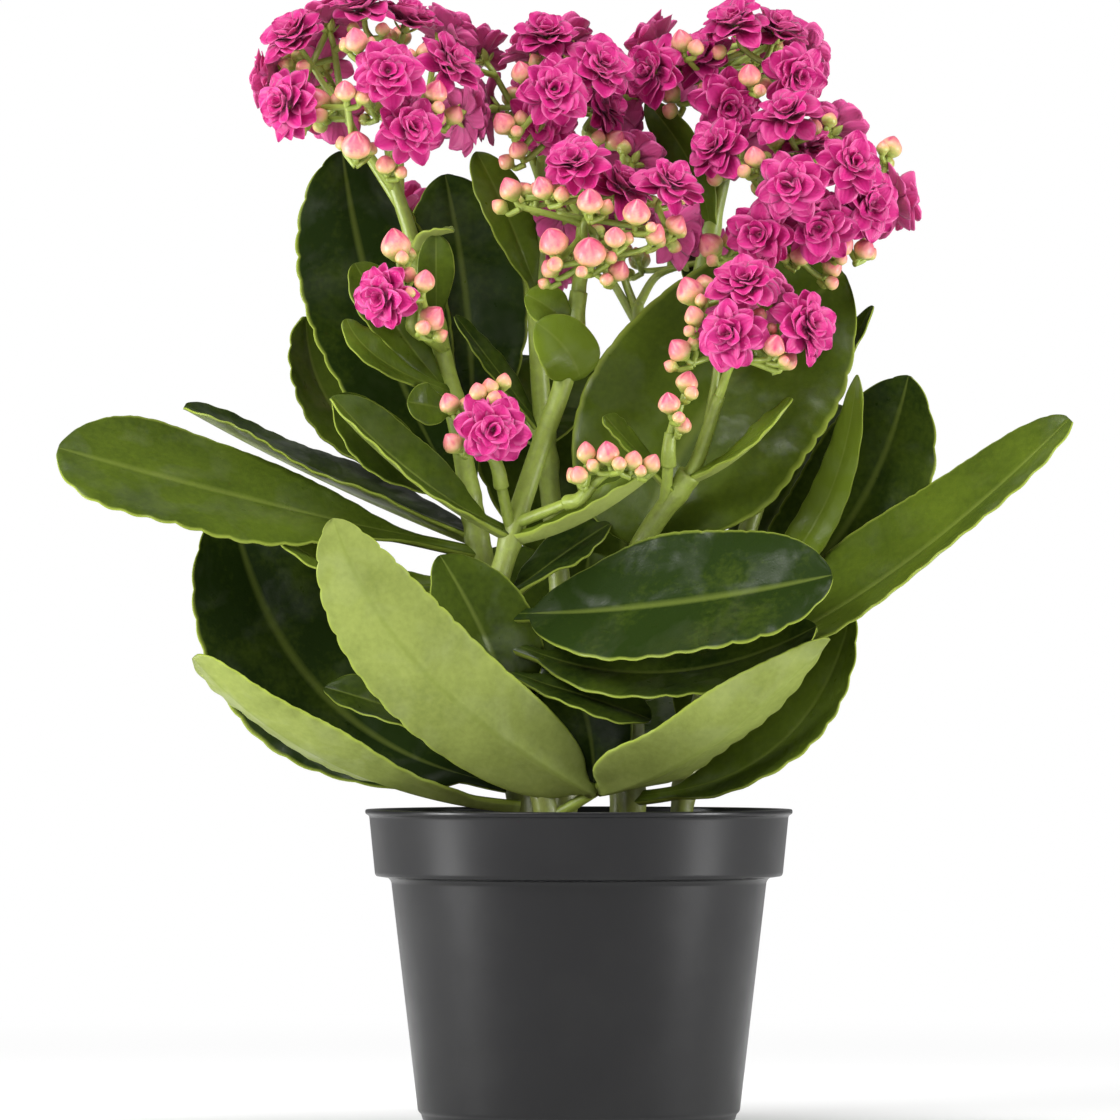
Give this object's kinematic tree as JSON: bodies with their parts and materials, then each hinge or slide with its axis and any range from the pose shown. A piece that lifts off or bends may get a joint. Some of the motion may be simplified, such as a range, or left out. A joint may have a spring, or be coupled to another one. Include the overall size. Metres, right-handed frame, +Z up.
{
  "type": "potted flaming katy",
  "caption": "Succulent with crenate leaves and heads of double magenta blooms and salmon buds, standing in a plain black nursery pot with a collar.",
  "frame": {"origin": "on the pot's axis, in the plane of its base", "axes": "+Z up along the pot's axis, -Y towards the front of the plant, +X to the right seen from the front"},
  "size_m": [0.283, 0.1463, 0.3237],
  "materials": {
    "pot_plastic": "satin black moulded plastic",
    "peat": "crumbled dark peat, matt",
    "foliage": "fleshy waxy leaf, satin",
    "petal": "soft matt petal"
  },
  "bodies": {
    "root": {"nursery_pot": "pot_plastic", "potting_soil": "peat", "leafy_stem_front": "foliage", "leafy_stem_right": "foliage", "leafy_stem_left": "foliage", "leafy_stem_back": "foliage", "leafy_stem_top_right": "foliage", "leafy_stem_back_right": "foliage", "flower_head_top_left": "petal", "flower_head_top_centre": "petal", "flower_head_centre": "petal", "flower_head_top_right": "petal", "flower_head_right": "petal", "flower_head_lower_right": "petal", "flower_spray_left": "petal", "flower_spray_lower_left": "petal", "bud_spray_front": "petal", "bud_spray_right": "petal", "flower_head_back_left": "petal", "flower_head_back_right": "petal"}
  },
  "joints": []
}
